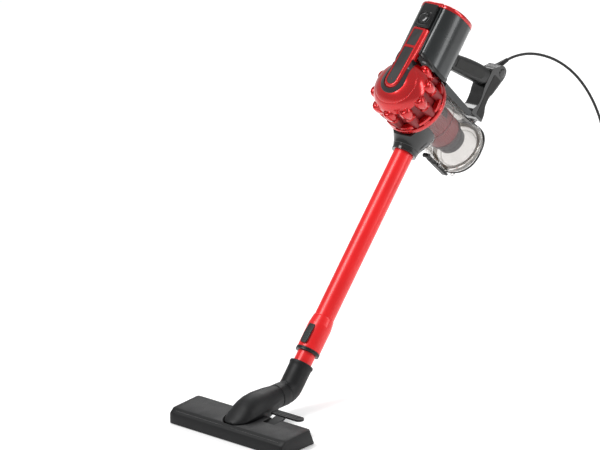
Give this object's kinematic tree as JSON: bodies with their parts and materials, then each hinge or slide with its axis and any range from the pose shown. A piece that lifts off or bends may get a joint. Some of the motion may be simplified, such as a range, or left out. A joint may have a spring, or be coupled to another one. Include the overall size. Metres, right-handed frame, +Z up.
{
  "type": "stick vacuum cleaner",
  "caption": "Corded stick vacuum: hand-held motor unit with red cyclone and clear dust cup, telescopic wand, swivel elbow and wide floor head.",
  "frame": {"origin": "middle of the hand grip, where a hand holds the machine up", "axes": "+X across the floor head, towards its pedal end; +Y to the rear, the way the wand leans; +Z up"},
  "size_m": [0.4403, 0.9244, 0.6397],
  "materials": {
    "graphite": "satin",
    "red_metal": "gloss metallic",
    "red_gloss": "gloss",
    "black_plastic": "satin",
    "black_gloss": "gloss",
    "grey_soft": "matt",
    "silver_trim": "satin",
    "clear_cup": "clear",
    "red_clear": "tinted",
    "filter_white": "matt",
    "head_black": "satin",
    "steel": "satin",
    "rubber_black": "matt",
    "bristle_black": "matt",
    "lint_red": "matt"
  },
  "bodies": {
    "hand_unit": {"housing_shell": "graphite", "housing_band": "red_metal", "exhaust_grille": "black_plastic", "control_panel": "black_gloss", "button_bezel": "black_gloss", "switch_block": "black_plastic", "tongue_frame": "red_metal", "tongue_inlays": "black_gloss", "cyclone_dome": "red_metal", "dome_trim": "silver_trim", "cyclone_cones": "red_metal", "cyclone_flange": "red_metal", "vortex_plate": "black_plastic", "shroud": "red_clear", "core_cone": "black_plastic", "filter_core": "filter_white", "neck_duct": "black_gloss", "grip": "black_plastic", "grip_pads": "grey_soft", "rear_post": "black_gloss", "post_strips": "grey_soft", "post_caps": "black_gloss", "spine_bar": "graphite", "casing_screws": "steel", "motor_can": "steel", "motor_mounts": "rubber_black", "strain_relief": "rubber_black", "cord_lead": "rubber_black", "cord_coil": "rubber_black", "cord_tie": "rubber_black", "plug_body": "rubber_black", "plug_pins": "steel"},
    "fan": {"impeller": "black_plastic", "motor_shaft": "steel"},
    "power_button": {"power_button": "black_gloss"},
    "cup_release": {"cup_release": "black_gloss"},
    "dust_cup": {"cup_shell": "clear_cup", "cup_lugs": "clear_cup", "cup_pins": "steel"},
    "lid": {"lid_rim": "clear_cup", "lid_window": "clear_cup", "lid_seal": "rubber_black"},
    "lid_latch": {"lid_latch": "black_plastic"},
    "wand": {"upper_tube": "red_gloss", "flare_sleeve": "red_gloss", "collar_ring": "black_plastic"},
    "lock_slider": {"lock_slider": "black_plastic"},
    "lower_wand": {"lower_tube": "red_gloss"},
    "elbow": {"elbow_pipe": "head_black"},
    "neck": {"neck_hood": "head_black", "neck_pins": "steel"},
    "floor_head": {"head_shell": "head_black", "sole_plate": "head_black", "lint_pads": "lint_red", "bearing_blocks": "black_plastic", "pivot_pins": "steel"},
    "wheel_left": {"wheel_left": "rubber_black"},
    "wheel_right": {"wheel_right": "rubber_black"},
    "pedal": {"pedal": "head_black"},
    "bristles": {"bristle_carriage": "black_plastic", "bristle_rows": "bristle_black"}
  },
  "joints": [
    {"name": "power_press", "type": "slide", "parent": "hand_unit", "child": "power_button", "axis": [0, 0.7501, -0.6613], "range_m": [0, 0.0012], "stiffness_N_per_m": 1500, "springref_m": -0.0006},
    {"name": "fan_spin", "type": "hinge", "parent": "hand_unit", "child": "fan", "pos_m": [0, -0.0833, 0.06278], "axis": [0, 0.6613, 0.7501], "continuous": true},
    {"name": "cup_release_press", "type": "slide", "parent": "hand_unit", "child": "cup_release", "axis": [0, -0.6613, -0.7501], "range_m": [0, 0.0025], "stiffness_N_per_m": 800, "springref_m": -0.002},
    {"name": "cup_pull", "type": "slide", "parent": "hand_unit", "child": "dust_cup", "axis": [0, 0.7501, -0.6613], "range_m": [0, 0.06]},
    {"name": "lid_hinge", "type": "hinge", "parent": "dust_cup", "child": "lid", "pos_m": [0, 0.02697, -0.0919], "axis": [1, 0, 0], "range_deg": [0, 50]},
    {"name": "lid_latch_lift", "type": "hinge", "parent": "dust_cup", "child": "lid_latch", "pos_m": [0, -0.06731, -0.15196], "axis": [-1, 0, 0], "range_deg": [0, 5], "stiffness_Nm_per_rad": 0.6, "springref_deg": -5.73},
    {"name": "wand_pull", "type": "slide", "parent": "hand_unit", "child": "wand", "axis": [0, -0.6613, -0.7501], "range_m": [0, 0.04]},
    {"name": "lock_slide", "type": "slide", "parent": "wand", "child": "lock_slider", "axis": [0, 0.6613, 0.7501], "range_m": [0, 0.006], "stiffness_N_per_m": 600, "springref_m": -0.002},
    {"name": "wand_extend", "type": "slide", "parent": "wand", "child": "lower_wand", "axis": [0, -0.6613, -0.7501], "range_m": [0, 0.28]},
    {"name": "head_pull", "type": "slide", "parent": "lower_wand", "child": "elbow", "axis": [0, -0.6613, -0.7501], "range_m": [0, 0.036]},
    {"name": "head_swivel", "type": "hinge", "parent": "elbow", "child": "neck", "pos_m": [0, -0.49036, -0.45715], "axis": [0, 1, 0], "range_deg": [-90, 90]},
    {"name": "head_pitch", "type": "hinge", "parent": "neck", "child": "floor_head", "pos_m": [0, -0.59336, -0.48315], "axis": [-1, 0, 0], "range_deg": [0, 30]},
    {"name": "pedal_press", "type": "hinge", "parent": "floor_head", "child": "pedal", "pos_m": [0.052, -0.57136, -0.47615], "axis": [-1, 0, 0], "range_deg": [0, 8]},
    {"name": "bristle_drop", "type": "slide", "parent": "floor_head", "child": "bristles", "axis": [0, 0, -1], "range_m": [0, 0.004]},
    {"name": "wheel_left_spin", "type": "hinge", "parent": "floor_head", "child": "wheel_left", "pos_m": [-0.08, -0.56736, -0.49015], "axis": [1, 0, 0], "continuous": true},
    {"name": "wheel_right_spin", "type": "hinge", "parent": "floor_head", "child": "wheel_right", "pos_m": [0.08, -0.56736, -0.49015], "axis": [1, 0, 0], "continuous": true}
  ],
  "couplings": [
    {"joint": "bristle_drop", "follows": "pedal_press", "m_per_rad": 0.027932}
  ]
}
